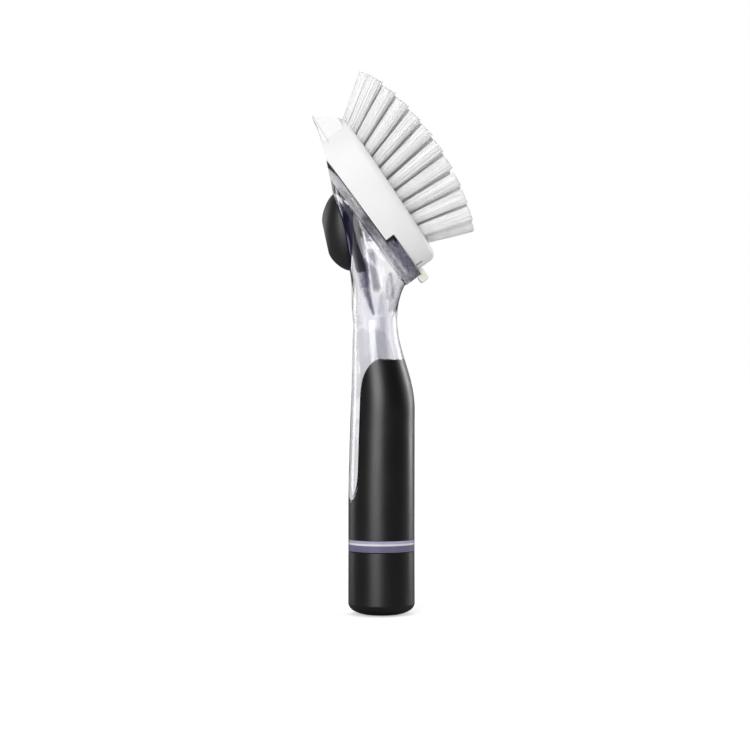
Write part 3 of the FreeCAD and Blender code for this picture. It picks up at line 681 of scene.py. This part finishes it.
def springCoil():
    # wire wound round the button's axis as a helix tube
    lean, wire, (first, last) = math.radians(coil["lean"]), coil["wire"] / 2.0, coil["ends"]
    inward = np.array([math.cos(lean), 0.0, math.sin(lean)])
    upward = np.array([-math.sin(lean), 0.0, math.cos(lean)])
    sideways, centre = np.cross(inward, upward), np.array(coil["centre"])
    share = np.linspace(0.0, 1.0, coil["stations"])[:, None]
    around = np.linspace(0.0, 2.0 * np.pi, coil["sides"], endpoint=False)[None, :]
    turn = 2.0 * np.pi * coil["turns"] * share
    reach = coil["radius"] + wire * np.cos(around)
    depth = first + (last - first) * share - wire * np.sin(around)
    points = centre + (reach * np.cos(turn))[..., None] * upward
    points = points + (reach * np.sin(turn))[..., None] * sideways + depth[..., None] * inward
    obj = meshPiece("spring_coil", points * mm, prismFaces(1, coil["stations"], coil["sides"]), "handle",
                    ["return_spring"], materials["spring_steel"])
    obj.data.set_sharp_from_angle(angle=math.radians(coil["sharp"]))
    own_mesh(obj)


springCoil()
print("spring coil")

# CAD nodes get the finish of their slot, apart from a few with a finish of their own
ownFinish = {
    "head_plate": "clear_plate", "brush_block": "white_block", "button_cover": "black_button",
    "valve_seat": "pale_inner", "valve_stopper": "pale_inner", "plunger_stem": "pale_inner",
    "stem_seal": "pale_inner", "outlet_gasket": "pale_inner",
}
for part in frame["record"]["subparts"]:
    obj = frame["nodes"][part["node"]]
    obj.data.materials.clear()
    obj.data.materials.append(materials[ownFinish.get(part["node"], part["material_slot"])])
print("dressed nodes", len(frame["nodes"]))

stage = {
    "sides": 64, "rings": (0.2, 1.0, 5.0, 30.0), "tone": 0.8, "toneStep": 0.01, "mirrorTone": 0.2,
    "glow": (0.5, 0.98), "glowReach": (50.0, 400.0), "through": 0.7, "front": 0.035, "behind": 0.55,
    "turn": (0.1, 0.8), "clearFront": 0.75, "clearBehind": 0.96, "clearTurn": (-0.4, 0.6),
    "aim": (0.0, 0.0, 0.11),
}


def paleFloor():
    # round pale floor: rings round a disc, wide enough that its edge lies on the horizon
    sides = stage["sides"]
    turn = np.linspace(0.0, 2.0 * np.pi, sides, endpoint=False)
    reach = np.array(stage["rings"])[:, None]
    points = np.stack([reach * np.cos(turn), reach * np.sin(turn), 0.0 * reach * turn], axis=-1)
    ring = np.arange(len(reach) - 1)[:, None] * sides
    side = np.arange(sides)[None, :]
    after = (side + 1) % sides
    faces = np.stack([ring + side, ring + sides + side, ring + sides + after, ring + after], axis=-1)
    faces = faces.reshape(-1, 4).tolist() + [list(range(sides))]
    mesh = bpy.data.meshes.new("pale_floor")
    mesh.from_pydata(points.reshape(-1, 3).tolist(), [], faces)
    material = mouldedMaterial("pale_floor", {
        "skin": {"Dark": grey(stage["tone"] - stage["toneStep"]), "Light": grey(stage["tone"]),
                 "Smooth": 0.8, "Rough": 0.9, "Cloud Scale": 2.0},
        "shader": {"Emission Color": grey(1.0), "Specular IOR Level": 0.1},
    })
    tree = material.node_tree
    path = addNode(tree, "ShaderNodeLightPath")
    # dimmer where the object mirrors it
    skin = skinOf(tree)
    tone = mixNode(tree, path.outputs["Is Glossy Ray"], skin.outputs["Color"], grey(stage["mirrorTone"]))
    setBaseColour(tree, tone)
    through = mathNode(tree, "MULTIPLY", path.outputs["Is Transmission Ray"], stage["through"])
    # seen directly, the floor is whiter further out, so that only the contact shadow shows
    x, y = placeInMillimetres(tree)[:2]
    reach = mathNode(tree, "SQRT", mathNode(tree, "MULTIPLY_ADD", x, x, mathNode(tree, "MULTIPLY", y, y)))
    near, far = stage["glow"]
    seen = mathNode(tree, "MULTIPLY_ADD", rampNode(tree, reach, *stage["glowReach"]), far - near, near)
    glow = mathNode(tree, "MULTIPLY_ADD", path.outputs["Is Camera Ray"], seen, through)
    tree.links.new(glow, tree.nodes["Principled BSDF"].inputs["Emission Strength"])
    mesh.materials.append(material)
    obj = bpy.data.objects.new("pale_floor", mesh)
    scene.collection.objects.link(obj)


paleFloor()

lights = (
    {"name": "key", "at": (-0.37, -1.02, 0.25), "size": (0.66, 1.2), "power": 11.0},
    {"name": "left", "at": (-1.0, -0.45, 0.4), "size": (0.9, 1.2), "power": 1.2, "mirrored": False},
    {"name": "top", "at": (0.0, -0.3, 1.3), "size": (1.2, 0.9), "power": 8.0, "mirrored": False},
    {"name": "right", "at": (1.1, -0.1, 0.2), "size": (0.8, 1.0), "power": 3.6, "mirrored": False},
    {"name": "rim_right", "at": (0.95, 0.6, 0.2), "size": (0.3, 1.2), "power": 8.0, "through": False},
    {"name": "rim_left", "at": (-0.95, 0.6, 0.1), "size": (0.3, 1.0), "power": 3.0, "through": False},
)


def softLight(light):
    # rectangular area light that faces the middle of the object
    data = bpy.data.lights.new(light["name"], "AREA")
    data.shape = "RECTANGLE"
    data.size, data.size_y = light["size"]
    data.energy = light["power"]
    obj = bpy.data.objects.new(light["name"], data)
    scene.collection.objects.link(obj)
    obj.visible_camera = False
    obj.visible_glossy = light.get("mirrored", True)
    obj.visible_transmission = light.get("through", True)
    obj.location = light["at"]
    aim = np.array(stage["aim"]) - np.array(light["at"])
    yaw = math.atan2(aim[1], aim[0]) - math.pi / 2
    pitch = math.atan2(aim[2], math.hypot(aim[0], aim[1])) + math.pi / 2
    obj.rotation_euler = (pitch, 0.0, yaw)


for light in lights:
    softLight(light)


def studioWorld():
    # pale behind, dim in front where the room is dark; brighter through clear walls, white seen directly
    world = bpy.data.worlds.new("studio")
    world.use_nodes = True
    tree = world.node_tree
    sky = tree.nodes["Background"]
    coords = addNode(tree, "ShaderNodeTexCoord")
    parts = addNode(tree, "ShaderNodeSeparateXYZ")
    tree.links.new(coords.outputs["Generated"], parts.inputs["Vector"])
    path = addNode(tree, "ShaderNodeLightPath")

    def shaded(turn, front, behind):
        # strength by direction, from front to behind
        share = rampNode(tree, parts.outputs["Y"], *turn)
        return mathNode(tree, "MULTIPLY_ADD", share, behind - front, front)

    def chosen(ray, other, own):
        # own strength for one kind of ray, the other strength for the rest
        pick = addNode(tree, "ShaderNodeMix")
        tree.links.new(path.outputs[ray], pick.inputs["Factor"])
        tree.links.new(other, pick.inputs[2])
        if isinstance(own, float):
            pick.inputs[3].default_value = own
        else:
            tree.links.new(own, pick.inputs[3])
        return pick.outputs[0]

    mirrored = shaded(stage["turn"], stage["front"], stage["behind"])
    through = shaded(stage["clearTurn"], stage["clearFront"], stage["clearBehind"])
    strength = chosen("Is Camera Ray", chosen("Is Transmission Ray", mirrored, through), 1.0)
    tree.links.new(strength, sky.inputs["Strength"])
    sky.inputs["Color"].default_value = (1.0, 1.0, 1.0, 1.0)
    scene.world = world


studioWorld()
scene.view_settings.view_transform = "Standard"

photoCamera = {"at": (-0.0028, -0.9, 0.1035), "lens": 99.8, "sensor": 36.0, "clipEnd": 50.0}
cameraData = bpy.data.cameras.new("photo_camera")
cameraData.lens = photoCamera["lens"]
cameraData.sensor_width = photoCamera["sensor"]
cameraData.clip_end = photoCamera["clipEnd"]
camera = bpy.data.objects.new("photo_camera", cameraData)
scene.collection.objects.link(camera)
camera.location = photoCamera["at"]
camera.rotation_euler = (math.pi / 2, 0.0, 0.0)
scene.camera = camera
print("stage and camera set")
